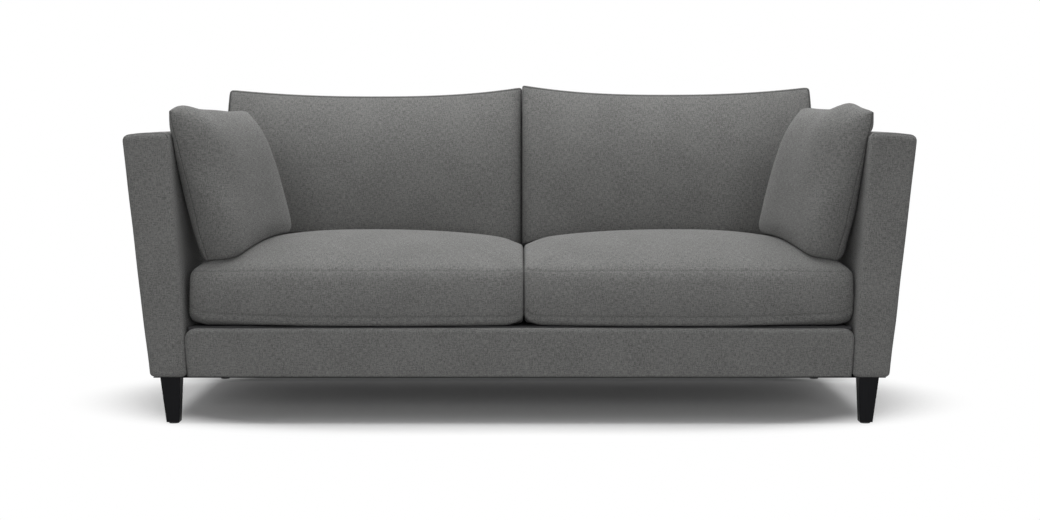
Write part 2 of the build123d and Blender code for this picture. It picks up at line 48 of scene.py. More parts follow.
# Legs: four square tapered legs of sawn hardwood, sprayed satin black.
# Each turns up into the frame on a hanger bolt and stands on a nailed plastic glide.
def new_finish(name, colour, roughness):
    """A material whose shader has a plain colour and roughness; returns it with that shader."""
    material = bpy.data.materials.new(name)
    material.use_nodes = True
    shader = material.node_tree.nodes["Principled BSDF"]
    shader.inputs["Base Color"].default_value = (*colour, 1.0)
    shader.inputs["Roughness"].default_value = roughness
    return material, shader


def add_node(owner, kind, inputs, **settings):
    """Adds a shader node to a material or a world. An input is a value, or an output that gets linked."""
    made = owner.node_tree.nodes.new("ShaderNode" + kind)
    for key, value in settings.items():
        setattr(made, key, value)
    for key, value in inputs.items():
        if isinstance(value, bpy.types.NodeSocket):
            owner.node_tree.links.new(value, made.inputs[key])
        else:
            made.inputs[key].default_value = value
    return made


def shade(material, shader, factor, dark, light, low=0.3, high=0.7):
    """Colours a shader between two tones by a factor, and returns that colour."""
    tones = add_node(material, "ValToRGB", {"Fac": factor})
    tones.color_ramp.elements[0].position = low
    tones.color_ramp.elements[0].color = (*dark, 1.0)
    tones.color_ramp.elements[1].position = high
    tones.color_ramp.elements[1].color = (*light, 1.0)
    material.node_tree.links.new(tones.outputs[0], shader.inputs["Base Color"])
    return tones.outputs[0]


def emboss(material, shader, height, depth, strength=1.0):
    """Gives a shader a relief, in metres."""
    bump = add_node(material, "Bump", {"Height": height, "Distance": depth, "Strength": strength})
    material.node_tree.links.new(bump.outputs[0], shader.inputs["Normal"])


def mottled_finish(
    name, colour, roughness, tones, scale, stretch=(1.0, 1.0, 1.0), detail=4.0, ends=(0.3, 0.7),
    relief=0.0001, strength=1.0, metallic=0.0, specular=0.5,
):
    """A finish that goes from a dark to a light tone by noise, drawn out by a scale for each axis.

    The same noise gives it a relief, in metres.
    """
    material, shader = new_finish(name, colour, roughness)
    shader.inputs["Metallic"].default_value = metallic
    shader.inputs["Specular IOR Level"].default_value = specular
    place = add_node(material, "TexCoord", {}).outputs["Object"]
    drawn = add_node(material, "Mapping", {"Vector": place, "Scale": stretch}).outputs[0]
    grain = add_node(
        material, "TexNoise", {"Vector": drawn, "Scale": scale, "Detail": detail}
    ).outputs[0]
    shade(material, shader, grain, *tones, *ends)
    if relief:
        emboss(material, shader, grain, relief, strength)
    return material


def dress(material, *names):
    """Gives CAD nodes their finish."""
    for name in names:
        nodes[name].data.materials.clear()
        nodes[name].data.materials.append(material)


lacquer = mottled_finish(
    "black_lacquer", (0.006, 0.006, 0.007), 0.45, ((0.003, 0.003, 0.0038), (0.0058, 0.006, 0.0072)), 6.0,
    stretch=(60.0, 60.0, 3.0), relief=0.0003, strength=0.5, specular=0.08,
)
dress(lacquer, "leg_front_left", "leg_front_right", "leg_rear_left", "leg_rear_right")

glide = mottled_finish(
    "glide_plastic", (0.02, 0.02, 0.02), 0.55, ((0.016, 0.016, 0.016), (0.032, 0.032, 0.031)), 400.0
)
dress(glide, "leg_glides")

# Frame timber: kiln-dried beech rails, posts and blocks, planed and left bare.
# They are glued and screwed together, and their grain runs along each piece.
beech_dark = (0.40, 0.25, 0.125)
beech_light = (0.60, 0.43, 0.255)
grain_across = 55.0
grain_along = 3.0


def beech(name, axis):
    """Bare beech with its grain along an axis."""
    stretch = [grain_across] * 3
    stretch[axis] = grain_along
    return mottled_finish(
        name, beech_light, 0.62, (beech_dark, beech_light), 2.2,
        stretch=stretch, detail=6.0, ends=(0.32, 0.62), relief=0.0004, strength=0.6,
    )


dress(
    beech("beech_along_x", 0),
    "front_rail", "rear_rail", "back_top_rail", "back_lower_rails", "corner_blocks", "leg_blocks",
)
dress(
    beech("beech_along_y", 1),
    "side_rail_left", "side_rail_right", "centre_rail", "arm_top_rail_left", "arm_top_rail_right",
    "arm_bottom_rail_left", "arm_bottom_rail_right",
)
dress(
    beech("beech_along_z", 2),
    "arm_front_post_left", "arm_front_post_right", "arm_rear_post_left", "arm_rear_post_right",
    "back_uprights",
)

# Arm boards: pressed brown hardboard, stapled to both faces of an arm frame.
# They close the arms, so that the padding has something to lie on.
hardboard = mottled_finish(
    "hardboard", (0.24, 0.14, 0.07), 0.7, ((0.15, 0.085, 0.042), (0.30, 0.185, 0.10)), 260.0,
    stretch=(1.0, 0.35, 1.0), detail=6.0, relief=0.0002,
)
dress(hardboard, "arm_boards_left", "arm_boards_right")

# Bolts and nuts: zinc-plated steel. Hanger bolts and T-nuts hold the legs.
# Three bolts go through each side rail into the arm.
zinc = mottled_finish(
    "zinc_plate", (0.55, 0.56, 0.58), 0.38, ((0.48, 0.49, 0.50), (0.62, 0.63, 0.64)), 500.0,
    strength=0.4, metallic=1.0,
)
dress(zinc, "leg_bolts", "leg_t_nuts", "arm_bolts")

# Springs: eight zigzag springs of tempered wire run from front to rear rail under the seat.
# Moulded clips hold their ends, and two tie wires keep them side by side.
temper = mottled_finish(
    "tempered_wire", (0.3, 0.31, 0.33), 0.42, ((0.20, 0.205, 0.22), (0.38, 0.385, 0.40)), 220.0,
    stretch=(1.0, 0.3, 1.0), strength=0.4, metallic=1.0,
)
dress(temper, "seat_springs", "spring_tie_wires")

clip_plastic = mottled_finish(
    "clip_plastic", (0.75, 0.75, 0.72), 0.5, ((0.68, 0.68, 0.65), (0.78, 0.78, 0.75)), 160.0, strength=0.4
)
dress(clip_plastic, "spring_clips")


# Back webbing: ten elastic straps stretched from the lower rails to the top rail.
# They are woven of rubber and jute, and stapled at both ends.
def add_piece(name, bm, material, slot, body, *replaced):
    """Makes a finished mesh a piece of the sofa that stands for some CAD nodes."""
    bmesh.ops.recalc_face_normals(bm, faces=bm.faces)
    for face in bm.faces:
        face.smooth = True
    mesh = bpy.data.meshes.new(name)
    bm.to_mesh(mesh)
    bm.free()
    mesh.materials.append(material)
    piece = bpy.data.objects.new(name, mesh)
    scene.collection.objects.link(piece)
    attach(piece, body)
    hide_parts(*replaced)
    return piece


def block(low, high):
    """A six-sided blank between two level rectangles, each (x min, x max, y min, y max, z)."""
    bm = bmesh.new()
    bmesh.ops.create_cube(bm, size=2)
    for v in bm.verts:
        level = high if v.co.z > 0 else low
        v.co = (level[v.co.x > 0], level[2 + (v.co.y > 0)], level[4])
    return bm


def round_off(bm, edges, radius, segments):
    """Rounds some edges of a blank."""
    bmesh.ops.bevel(
        bm, geom=edges, offset=radius, segments=segments, profile=0.5, affect="EDGES", material=-1
    )


strap_count = 10
strap_pitch = 0.17
strap_width = 0.06
strap_thick = 0.002
strap_round = 0.0006
strap_low, strap_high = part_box("back_webbing")
webbing = mottled_finish(
    "webbing", (0.3, 0.24, 0.16), 0.85, ((0.20, 0.155, 0.10), (0.36, 0.29, 0.20)), 1.0,
    stretch=(900.0, 200.0, 200.0), relief=0.0005,
)
straps = bmesh.new()
for strap in range(strap_count):
    middle = (strap - (strap_count - 1) / 2) * strap_pitch
    edges = (middle - strap_width / 2, middle + strap_width / 2)
    foot = (*edges, strap_low.y, strap_low.y + strap_thick, strap_low.z)
    top = (*edges, strap_high.y - strap_thick, strap_high.y, strap_high.z)
    one = block(foot, top)
    round_off(one, one.edges[:], strap_round, segments=2)
    loose = bpy.data.meshes.new("strap")
    one.to_mesh(loose)
    one.free()
    straps.from_mesh(loose)
    bpy.data.meshes.remove(loose)
add_piece("back_webbing_straps", straps, webbing, "webbing", "frame", "back_webbing")


# Arms: foam and wadding over the timber arm frames, under covers of charcoal melange cloth.
# A front panel is sewn into each cover, which is pulled down over the arm and stapled underneath.
def upholstery_cloth(name, tone):
    """Charcoal melange plain weave, on a UV map in metres: threads, slubs and fleck, with painted shade
    along the seams.
    """
    yarn_pitch = 0.0016
    flecks = 400.0  # to the metre
    slub_runs = 85.0
    worn_patches = 9.0
    fleck_share, worn_share, yarn_share = 0.36, 0.08, 0.14
    contrast = 0.58
    seam_shade_tone = 0.12
    material, shader = new_finish(name, tone, 0.88)
    threads = add_node(material, "UVMap", {}, uv_map="weave").outputs[0]

    def ribs(direction):
        wave = {"Vector": threads, "Scale": 2 * math.pi / (20 * yarn_pitch), "Distortion": 1.2}
        wave["Detail Scale"] = 0.6
        return add_node(
            material, "TexWave", wave, wave_type="BANDS", bands_direction=direction
        ).outputs[1]

    def mottle(vector, scale):
        return add_node(
            material, "TexNoise", {"Vector": vector, "Scale": scale, "Detail": 2.0}
        ).outputs[0]

    def slub(*scale):
        return mottle(add_node(material, "Mapping", {"Vector": threads, "Scale": scale}).outputs[0], 1.0)

    def mix(share, first, second):
        return add_node(material, "Mix", {0: share, 2: first, 3: second}).outputs[0]

    over = add_node(material, "TexChecker", {"Vector": threads, "Scale": 1 / yarn_pitch}).outputs[1]
    yarn = mix(over, ribs("X"), ribs("Y"))
    slubs = mix(0.5, slub(flecks, slub_runs, 1.0), slub(slub_runs, flecks, 1.0))
    mixed = mix(fleck_share, slubs, mottle(threads, flecks))
    mixed = mix(worn_share, mixed, mottle(threads, worn_patches))
    mixed = mix(yarn_share, mixed, yarn)
    dark = [c * (1 - contrast) for c in tone]
    light = [c * (1 + contrast) for c in tone]
    melange = shade(material, shader, mixed, dark, light, 0.375, 0.625)
    # Painted shade: where a cover's points are marked along its seams, the cloth is mixed towards a dark
    # copy of its tone.
    seam_shade = add_node(material, "Attribute", {}, attribute_name="seam_painted_shade").outputs["Fac"]
    painted_shadow = (*[c * seam_shade_tone for c in tone], 1.0)
    seam_shaded_colour = add_node(material, "Mix", {0: seam_shade, 6: melange, 7: painted_shadow}, data_type="RGBA").outputs[2]
    material.node_tree.links.new(seam_shaded_colour, shader.inputs["Base Color"])
    emboss(material, shader, yarn, 0.0004, 0.7)
    shader.inputs["Sheen Weight"].default_value = 0.12
    shader.inputs["Sheen Roughness"].default_value = 0.5
    shader.inputs["Specular IOR Level"].default_value = 0.25
    return material


def cut_across(bm, axis, place):
    """Cuts a mesh all through by the plane at a place on an axis."""
    normal = Vector([float(axis == k) for k in range(3)])
    bmesh.ops.bisect_plane(
        bm, geom=bm.verts[:] + bm.edges[:] + bm.faces[:], plane_co=normal * place, plane_no=normal
    )


def divide(bm, steps):
    """Cuts a blank's faces by planes at these spacings along X, Y and Z."""
    for axis, step in enumerate(steps):
        places = [v.co[axis] for v in bm.verts]
        low, high = min(places), max(places)
        count = max(1, round((high - low) / step))
        for i in range(1, count):
            cut_across(bm, axis, low + (high - low) * i / count)


def weave_map(bm):
    """Lays the threads on each panel: UV coordinates are metres along it."""
    bm.normal_update()
    layer = bm.loops.layers.uv.new("weave")
    for face in bm.faces:
        axis = max(range(3), key=lambda k: abs(face.normal[k]))
        across, up = ((1, 2), (0, 2), (0, 1))[axis]
        for loop in face.loops:
            loop[layer].uv = (loop.vert.co[across], loop.vert.co[up])


def pad_out(bm, low, high, swell, unevenness):
    """Swells the middle of each face of a blank and leaves its edges and foot, as foam does in a cover."""
    lumps = 9.0  # to the metre
    bm.normal_update()
    moved = []
    for v in bm.verts:
        rise = (v.co.z - low[4]) / (high[4] - low[4])
        x_min, x_max, y_min, y_max = [a + (b - a) * rise for a, b in zip(low[:4], high[:4])]
        shares = (
            (2 * v.co.x - x_min - x_max) / (x_max - x_min),
            (2 * v.co.y - y_min - y_max) / (y_max - y_min),
            2 * rise - 1,
        )
        full = swell
        for share, facing in zip(shares, v.normal):
            full *= 1 - min(1.0, share * share) * (1 - abs(facing))
        full += unevenness * noise.noise(v.co * lumps)
        moved.append(v.co + v.normal * full)
    for v, place in zip(bm.verts, moved):
        v.co = (place.x, place.y, max(place.z, low[4]))


cloth_tone = (0.150, 0.150, 0.146)
cloth = upholstery_cloth("charcoal_cloth", cloth_tone)
near = 0.001  # how close to a plane a point of a blank counts as on it
arm_foot = 0.124
arm_top = 0.7620
arm_front = -0.4685
arm_rear = (0.388, 0.467)  # at the foot and at the top
arm_foot_span = (0.8695, 0.966)  # inside and outside, from the middle of the sofa
arm_top_span = (0.9125, 1.0345)
arm_round = 0.017
arm_foot_round = 0.011
arm_swell = 0.003
arm_unevenness = 0.0012
arm_fall = 0.008
arm_fall_reach = 0.1
arm_seam_facing = -0.5  # the front panel's seam lies where its rounded edge faces this far forwards
# how dark the painted shade line along the front panel's seam is
arm_seam_painted_shade = 0.75
arms = {}
for side, sign in (("left", -1), ("right", 1)):
    low = (*sorted(sign * x for x in arm_foot_span), arm_front, arm_rear[0], arm_foot)
    high = (*sorted(sign * x for x in arm_top_span), arm_front, arm_rear[1], arm_top)
    bm = block(low, high)
    top_and_corners = [e for e in bm.edges if max(v.co.z for v in e.verts) > arm_top - near]
    round_off(bm, top_and_corners, arm_round, segments=6)
    foot_ring = [e for e in bm.edges if max(v.co.z for v in e.verts) < arm_foot + near]
    round_off(bm, foot_ring, arm_foot_round, segments=4)
    divide(bm, (0.02, 0.035, 0.035))
    bm.normal_update()
    # Painted shade: the cloth is darkened along the front's rounded outer and top edges, where the front
    # panel is sewn in; no groove is cut there.
    seam_shade = bm.verts.layers.float.new("seam_painted_shade")
    for v in bm.verts:
        rounded = v.co.y < arm_front + arm_round and abs(v.normal.y - arm_seam_facing) < 0.1
        v[seam_shade] = arm_seam_painted_shade if rounded and max(v.normal.x * sign, v.normal.z) > 0.3 else 0.0
    pad_out(bm, low, high, arm_swell, arm_unevenness)
    for v in bm.verts:
        outer = max(0.0, (abs(v.co.x) - arm_top_span[0]) / (arm_top_span[1] - arm_top_span[0]))
        v.co.z -= arm_fall * outer**3 * max(0.0, 1 - (arm_top - v.co.z) / arm_fall_reach)
    weave_map(bm)
    arms[side] = add_piece(f"arm_{side}", bm, cloth, "upholstery", "frame", f"arm_cover_{side}")

# Front border: a padded board with rounded upper corners that closes the seat base between the arms.
# Its cover wraps the board and is stapled behind and below.
border_foot = 0.1243
border_top = 0.249
border_front = -0.459
border_rear = -0.4355
border_foot_half = 0.868
border_top_half = 0.8762
border_corner = 0.03
border_round = 0.009
border_foot_round = 0.002
panel_swell = 0.002
panel_unevenness = 0.0008
low = (-border_foot_half, border_foot_half, border_front, border_rear, border_foot)
high = (-border_top_half, border_top_half, border_front, border_rear, border_top)
bm = block(low, high)
corners = [
    e for e in bm.edges
    if min(v.co.z for v in e.verts) > border_top - near and abs(e.verts[0].co.x - e.verts[1].co.x) < near
]
round_off(bm, corners, border_corner, segments=8)


def front_edges(bm):
    """The edges that lie in the front face of the border."""
    return [e for e in bm.edges if max(v.co.y for v in e.verts) < border_front + near]


outline = [e for e in front_edges(bm) if max(v.co.z for v in e.verts) > border_foot + near]
round_off(bm, outline, border_round, segments=4)
lower_edge = [e for e in front_edges(bm) if max(v.co.z for v in e.verts) < border_foot + near]
round_off(bm, lower_edge, border_foot_round, segments=3)
divide(bm, (0.04, 0.03, 0.012))
pad_out(bm, low, high, panel_swell, panel_unevenness)
weave_map(bm)
border = add_piece("border", bm, cloth, "upholstery", "frame", "front_border")

# Seat platform: wadding and black platform cloth over the springs, stapled along the rails.
# The seat cushions lie on it, so it shows only when they are out.
platform_low, platform_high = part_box("seat_platform")
platform_thick = 0.0115
platform_round = 0.004
platform_dip = 0.0008
platform_set = 0.001  # of its front edge, below the top of the CAD piece
spring_pitch = 0.21
platform = mottled_finish(
    "platform_cloth", (0.03, 0.03, 0.032), 0.9, ((0.022, 0.022, 0.024), (0.042, 0.042, 0.044)), 700.0,
    relief=0.0003,
)
bm = bmesh.new()
bmesh.ops.create_cube(bm, size=2)
for v in bm.verts:
    front = v.co.y < 0
    level = (platform_high.z - platform_set) if front else (platform_low.z + platform_thick)
    v.co = (
        (platform_high.x if v.co.x > 0 else platform_low.x),
        (platform_low.y if front else platform_high.y),
        level - (0.0 if v.co.z > 0 else platform_thick),
    )
round_off(bm, bm.edges[:], platform_round, segments=3)
divide(bm, (0.05, 0.05, 1.0))
for v in bm.verts:
    v.co.z -= platform_dip * (1 + math.cos(2 * math.pi * v.co.x / spring_pitch))
weave_map(bm)
deck = add_piece("platform", bm, platform, "platform_cloth", "frame", "seat_platform")

# Inside back: foam over the webbing, in a cover that turns over the top rail and ends in a lip behind.
# The outside back is a separate padded panel, blind-tacked under that lip.
back_foot = 0.225
back_top = 0.7575
back_round = 0.016
lip_foot = 0.670
lip_thick = 0.017
crest_foot = 0.739
back_depth = 0.0825
foam_thick = 0.020
cover_gap = 0.0012  # between the arms and what is fitted between them
frame_rise = 0.641  # from the foot of the upholstery to the top of the frame
back_foot_y = 0.390
back_lean = 0.080
arm_foot_inside = 0.869
arm_splay = 0.043


def behind(z):
    """The outside of the leaning back at a height."""
    return back_foot_y + back_lean * (z - arm_foot) / frame_rise


def arm_inside(z):
    """The inside of an arm at a height."""
    return arm_foot_inside + arm_splay * (z - arm_foot) / frame_rise


foam_rear = back_depth - foam_thick
crest_rear = behind(crest_foot - 0.002)
profile = (
    (behind(back_foot) - back_depth, back_foot),
    (behind(back_top) - back_depth, back_top),
    (behind(back_top), back_top),
    (behind(lip_foot), lip_foot),
    (behind(lip_foot) - lip_thick, lip_foot),
    (crest_rear - lip_thick, crest_foot),
    (crest_rear - foam_rear, crest_foot),
    (behind(back_foot) - foam_rear, back_foot),
)
bm = bmesh.new()
end = bm.faces.new([bm.verts.new((-1.0, y, z)) for y, z in profile])
grown = bmesh.ops.extrude_face_region(bm, geom=[end])
bmesh.ops.translate(
    bm, verts=[v for v in grown["geom"] if isinstance(v, bmesh.types.BMVert)], vec=(2.0, 0.0, 0.0)
)
for v in bm.verts:
    v.co.x = math.copysign(arm_inside(v.co.z) - cover_gap, v.co.x)
bmesh.ops.recalc_face_normals(bm, faces=bm.faces)
crest = [e for e in bm.edges if min(v.co.z for v in e.verts) > back_top - near and e.calc_length() > 1]
round_off(bm, crest, back_round, segments=5)
divide(bm, (0.06, 1.0, 0.05))
weave_map(bm)
inside_back = add_piece("inside_back", bm, cloth, "upholstery", "frame", "back_cover")

panel_top = 0.668
panel_thick = 0.015
panel_set = 0.001  # how far it lies in from the lip above it
panel_round = 0.005


def panel_level(z):
    """The outside back's rectangle at a height, for a blank."""
    half = arm_inside(z) - cover_gap
    return -half, half, behind(z) - panel_thick, behind(z) - panel_set, z


low = panel_level(arm_foot)
high = panel_level(panel_top)
bm = block(low, high)
round_off(bm, bm.edges[:], panel_round, segments=3)
divide(bm, (0.06, 1.0, 0.05))
pad_out(bm, low, high, panel_swell, panel_unevenness)
weave_map(bm)
outside_back = add_piece("outside_back", bm, cloth, "upholstery", "frame", "outside_back_panel")

# Dust cover: thin black spunbond cloth under the frame, cut round the legs.
# It is folded in at its edges and stapled to the underside of the rails every 6 cm.
dust_low, dust_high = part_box("dust_cover")
dust_thick = 0.0009
dust_sag = 0.0025
leg_hole = 0.0275
leg_x = 0.914
leg_front_y = -0.429
leg_rear_y = 0.349
spunbond, spunbond_shader = new_finish("spunbond", (0.012, 0.012, 0.012), 0.85)
dimples = add_node(spunbond, "TexCoord", {}).outputs["Object"]
dimples = add_node(spunbond, "TexVoronoi", {"Vector": dimples, "Scale": 420.0}).outputs[0]
shade(spunbond, spunbond_shader, dimples, (0.020, 0.020, 0.021), (0.010, 0.010, 0.010), 0.0, 0.7)
emboss(spunbond, spunbond_shader, dimples, 0.0003)
bm = bmesh.new()
bmesh.ops.create_grid(bm, x_segments=1, y_segments=1, size=1)
for v in bm.verts:
    v.co = (
        dust_high.x if v.co.x > 0 else dust_low.x,
        dust_high.y if v.co.y > 0 else dust_low.y,
        dust_high.z - dust_thick,
    )
divide(bm, (0.06, 0.06, 1.0))
for axis, places in ((0, (-leg_x, leg_x)), (1, (leg_front_y, leg_rear_y))):
    for place in places:
        cut_across(bm, axis, place - leg_hole)
        cut_across(bm, axis, place + leg_hole)
cut_out = [
    f for f in bm.faces
    if abs(abs(f.calc_center_median().x) - leg_x) < leg_hole
    and min(abs(f.calc_center_median().y - y) for y in (leg_front_y, leg_rear_y)) < leg_hole
]
bmesh.ops.delete(bm, geom=cut_out, context="FACES")
for v in bm.verts:
    across = 1 - (v.co.x / dust_high.x) ** 2
    deep = 1 - ((2 * v.co.y - dust_low.y - dust_high.y) / (dust_high.y - dust_low.y)) ** 2
    slack = dust_sag * (0.7 + 0.3 * noise.noise(v.co * 6.0))
    v.co.z -= slack * min(1.0, 3 * across) * min(1.0, 2 * deep)
bmesh.ops.solidify(bm, geom=bm.faces[:], thickness=dust_thick)
weave_map(bm)
dust = add_piece("underside_cloth", bm, spunbond, "dust_cloth", "frame", "dust_cover")

staple_wire = mottled_finish(
    "staple_wire", (0.5, 0.5, 0.5), 0.4, ((0.42, 0.42, 0.43), (0.56, 0.56, 0.57)), 800.0,
    relief=0.0, metallic=1.0,
)
staple_step = 0.062
staple_in = 0.012
staple_from_corner = 0.1
staple_size = (0.010, 0.0011, 0.0006)
staple_round = 0.0002
staple_proud = 0.0002
rows = (
    (0, dust_low.y + staple_in), (0, dust_high.y - staple_in),
    (1, dust_low.x + staple_in), (1, dust_high.x - staple_in),
)
bm = bmesh.new()
for along, at in rows:
    first = (dust_low.x, dust_low.y)[along] + staple_from_corner
    last = (dust_high.x, dust_high.y)[along] - staple_from_corner
    count = int((last - first) / staple_step)
    for i in range(count + 1):
        place = first + (last - first) * i / count
        spot = (place, at) if along == 0 else (at, place)
        crown = bmesh.ops.create_cube(bm, size=1)["verts"]
        span = staple_size if along == 0 else (staple_size[1], staple_size[0], staple_size[2])
        bmesh.ops.scale(bm, vec=span, verts=crown)
        bmesh.ops.translate(bm, vec=(*spot, dust_low.z - staple_proud), verts=crown)
round_off(bm, bm.edges[:], staple_round, segments=2)
staples = add_piece("dust_cover_staples", bm, staple_wire, "bolt_steel", "frame")


# Seat cushions: foam in a fibre wrap, in box covers with a zip behind. They lie loose on the platform.
# The covers are sewn from top, bottom and side panels, so the crowned top meets the front in a soft edge.
blank_end = 0.999  # how far out a point of a two-unit blank counts as on its side


def sewn_blank(counts):
    """A cover cut as a box of six panels, two units a side, and divided for draping."""
    bm = bmesh.new()
    bmesh.ops.create_cube(bm, size=2)
    for axis, count in enumerate(counts):
        along = [e for e in bm.edges if abs(e.verts[1].co[axis] - e.verts[0].co[axis]) > near]
        bmesh.ops.subdivide_edges(bm, edges=along, cuts=count - 1, use_grid_fill=True)
    return bm


def mark_seams(bm, on_rim, sides):
    """Marks the edges of a blank that lie on a sewn rim and along one of its sides."""
    for e in bm.edges:
        rim = all(on_rim(v.co) for v in e.verts)
        e.seam = rim and any(all(abs(v.co[k]) > blank_end for v in e.verts) for k in sides)


def soften(point, half, radius):
    """A point of a box of that half size, moved onto the same box with rounded edges."""
    inner = Vector([max(radius - h, min(h - radius, p)) for p, h in zip(point, half)])
    out = point - inner
    return inner + out * (radius / out.length)


def ease(value):
    """A smooth step from 0 to 1."""
    value = max(0.0, min(1.0, value))
    return value * value * (3 - 2 * value)


def stuff(piece, held, cap, pressure):
    """Fills a cover: cloth under pressure, with some points held and the rest moved by cap at most."""
    steps = 20
    piece.vertex_groups.new(name="held").add(held, 1.0, "REPLACE")
    filling = piece.modifiers.new("filling", "CLOTH")
    filling.settings.quality = 5
    filling.settings.mass = 0.3
    filling.settings.tension_stiffness = 15
    filling.settings.compression_stiffness = 15
    filling.settings.shear_stiffness = 8
    filling.settings.bending_stiffness = 1.0
    filling.settings.use_pressure = True
    filling.settings.uniform_pressure_force = pressure
    filling.settings.effector_weights.gravity = 0.0
    filling.settings.vertex_group_mass = "held"
    filling.collision_settings.use_collision = False
    filling.point_cache.frame_start = 1
    filling.point_cache.frame_end = steps
    for step in range(1, steps + 1):
        scene.frame_set(step)
    filled = piece.evaluated_get(bpy.context.evaluated_depsgraph_get())
    places = [v.co.copy() for v in filled.data.vertices]
    piece.modifiers.remove(filling)
    piece.vertex_groups.clear()
    scene.frame_set(1)
    for v, place in zip(piece.data.vertices, places):
        move = place - v.co
        if move.length > 1e-9:
            v.co += move * (cap * math.tanh(move.length / cap) / move.length)


def settle(piece, gap, way, *neighbours):
    """Moves a cover's points one way, out of the pieces that it lies against."""
    far = 0.3
    for other in neighbours:
        bm = bmesh.new()
        bm.from_mesh(other.data)
        skin = BVHTree.FromBMesh(bm)
        bm.free()
        for v in piece.data.vertices:
            spot = skin.ray_cast(v.co + way * far, -way, far + gap)[0]
            if spot is not None:
                v.co = spot + way * gap


def sew(piece, width, depth, painted_shadow):
    """Draws the cloth in along the stitched seams of a filled cover, and marks the groove for painted
    shadow.
    """
    bm = bmesh.new()
    bm.from_mesh(piece.data)
    seam_shade = bm.verts.layers.float.new("seam_painted_shade")
    seams = [e for e in bm.edges if e.seam]
    line = list(dict.fromkeys(v for e in seams for v in e.verts))
    stitches = kdtree.KDTree(len(line))
    for i, v in enumerate(line):
        stitches.insert(v.co, i)
    stitches.balance()
    round_off(bm, seams, width, segments=2)
    bm.normal_update()
    for v in bm.verts:
        if stitches.find(v.co)[2] < 0.6 * width:
            v.co -= v.normal * depth
            # painted shadow: these groove points darken the cloth's colour
            v[seam_shade] = painted_shadow
    bm.to_mesh(piece.data)
    bm.free()


def cut_cloth(bm, local, panels):
    """Lays the threads on a blank's panels, by the filled places of its points along two ways on each."""
    layer = bm.loops.layers.uv.new("weave")
    for face in bm.faces:
        axis = max(range(3), key=lambda k: abs(face.normal[k]))
        first, second = panels[axis]
        for loop in face.loops:
            spot = local[loop.vert.index]
            loop[layer].uv = (spot[first], spot[second])


zip_reach = 0.304
zip_half = 0.0135
zip_sunk = 0.004
zip_hem = 0.001


def open_zip(piece, middle, lean):
    """Cuts the window for a zip in a cushion's leaning rear panel and turns its edges in."""
    up = Vector((0.0, math.sin(lean), math.cos(lean)))
    out = Vector((0.0, math.cos(lean), -math.sin(lean)))
    bm = bmesh.new()
    bm.from_mesh(piece.data)
    bm.normal_update()

    def rear_faces(reach, half):
        found = []
        for face in bm.faces:
            off = face.calc_center_median() - middle
            if face.normal.dot(out) > 0.9 and abs(off.dot(out)) < 0.01:
                if abs(off.x) < reach and abs(off.dot(up)) < half:
                    found.append(face)
        return found

    for normal, reach in ((Vector((1.0, 0.0, 0.0)), zip_reach), (up, zip_half)):
        for sign in (-1, 1):
            panel = rear_faces(zip_reach + 0.05, zip_half + 0.03)
            rims = list(dict.fromkeys(e for f in panel for e in f.edges))
            points = list(dict.fromkeys(v for f in panel for v in f.verts))
            bmesh.ops.bisect_plane(
                bm, geom=panel + rims + points, plane_co=middle + normal * reach * sign, plane_no=normal
            )
    window = rear_faces(zip_reach, zip_half)
    bmesh.ops.inset_region(bm, faces=window, thickness=zip_hem, depth=-zip_sunk, use_even_offset=True)
    bm.to_mesh(piece.data)
    bm.free()


def finish_cushion(piece):
    for polygon in piece.data.polygons:
        polygon.use_smooth = True
    rounder = piece.modifiers.new("smooth", "SUBSURF")
    rounder.levels = 1
    rounder.render_levels = 1


seat_pitch = math.radians(2.5)
seat_front = -0.459
seat_height = 0.256
seat_rear = 0.773
seat_edge = 0.149
seat_rear_edge = 0.182
seat_crown = 0.239
seat_crown_at = 0.35
seat_crown_power = 2.4
seat_front_set = 0.009
seat_lift = 0.0007  # off the platform
seat_round = 0.017
seat_top_round = 0.010  # what the rounding gains at the top
seat_inner_round = 0.018  # and loses where the two meet
seat_bulge = 0.015  # of the front, between its seams
seat_bow = (0.018, 0.010)  # how far its ends draw back, along the front and at the very corner
seat_front_reach = 0.2  # how far back the front's bulge and bow go
seat_tips = (0.017, 0.003)  # how far the lower front edge lifts towards its ends, outside and inside
seat_sag = 0.0036  # of its middle
seat_hem = (0.018, 0.034)  # how deep that edge reaches
seat_corner_lift = 0.016
seat_corner_from = 0.88  # share of the half width
seat_corner_reach = (0.01, 0.11)
seat_meeting_from = 0.8
seat_seam = (0.004, 0.0008, 0.25)  # width, depth and painted shade of the stitched groove
seat_spans = {"left": (-0.8760, 0.0190), "right": (0.0040, 0.8870)}
seat_meet = {"left": 0.0107, "right": 0.0119}  # where the two press together
seat_zip_x = 0.43725
seat_zip_height = 0.070
outer_side_height = 0.172
inner_side_height = 0.207


def seat_place(x, deep, up):
    """A point above the pitched platform."""
    return Vector((
        x,
        seat_front + deep * math.cos(seat_pitch) + up * math.sin(seat_pitch),
        seat_height - deep * math.sin(seat_pitch) + up * math.cos(seat_pitch),
    ))


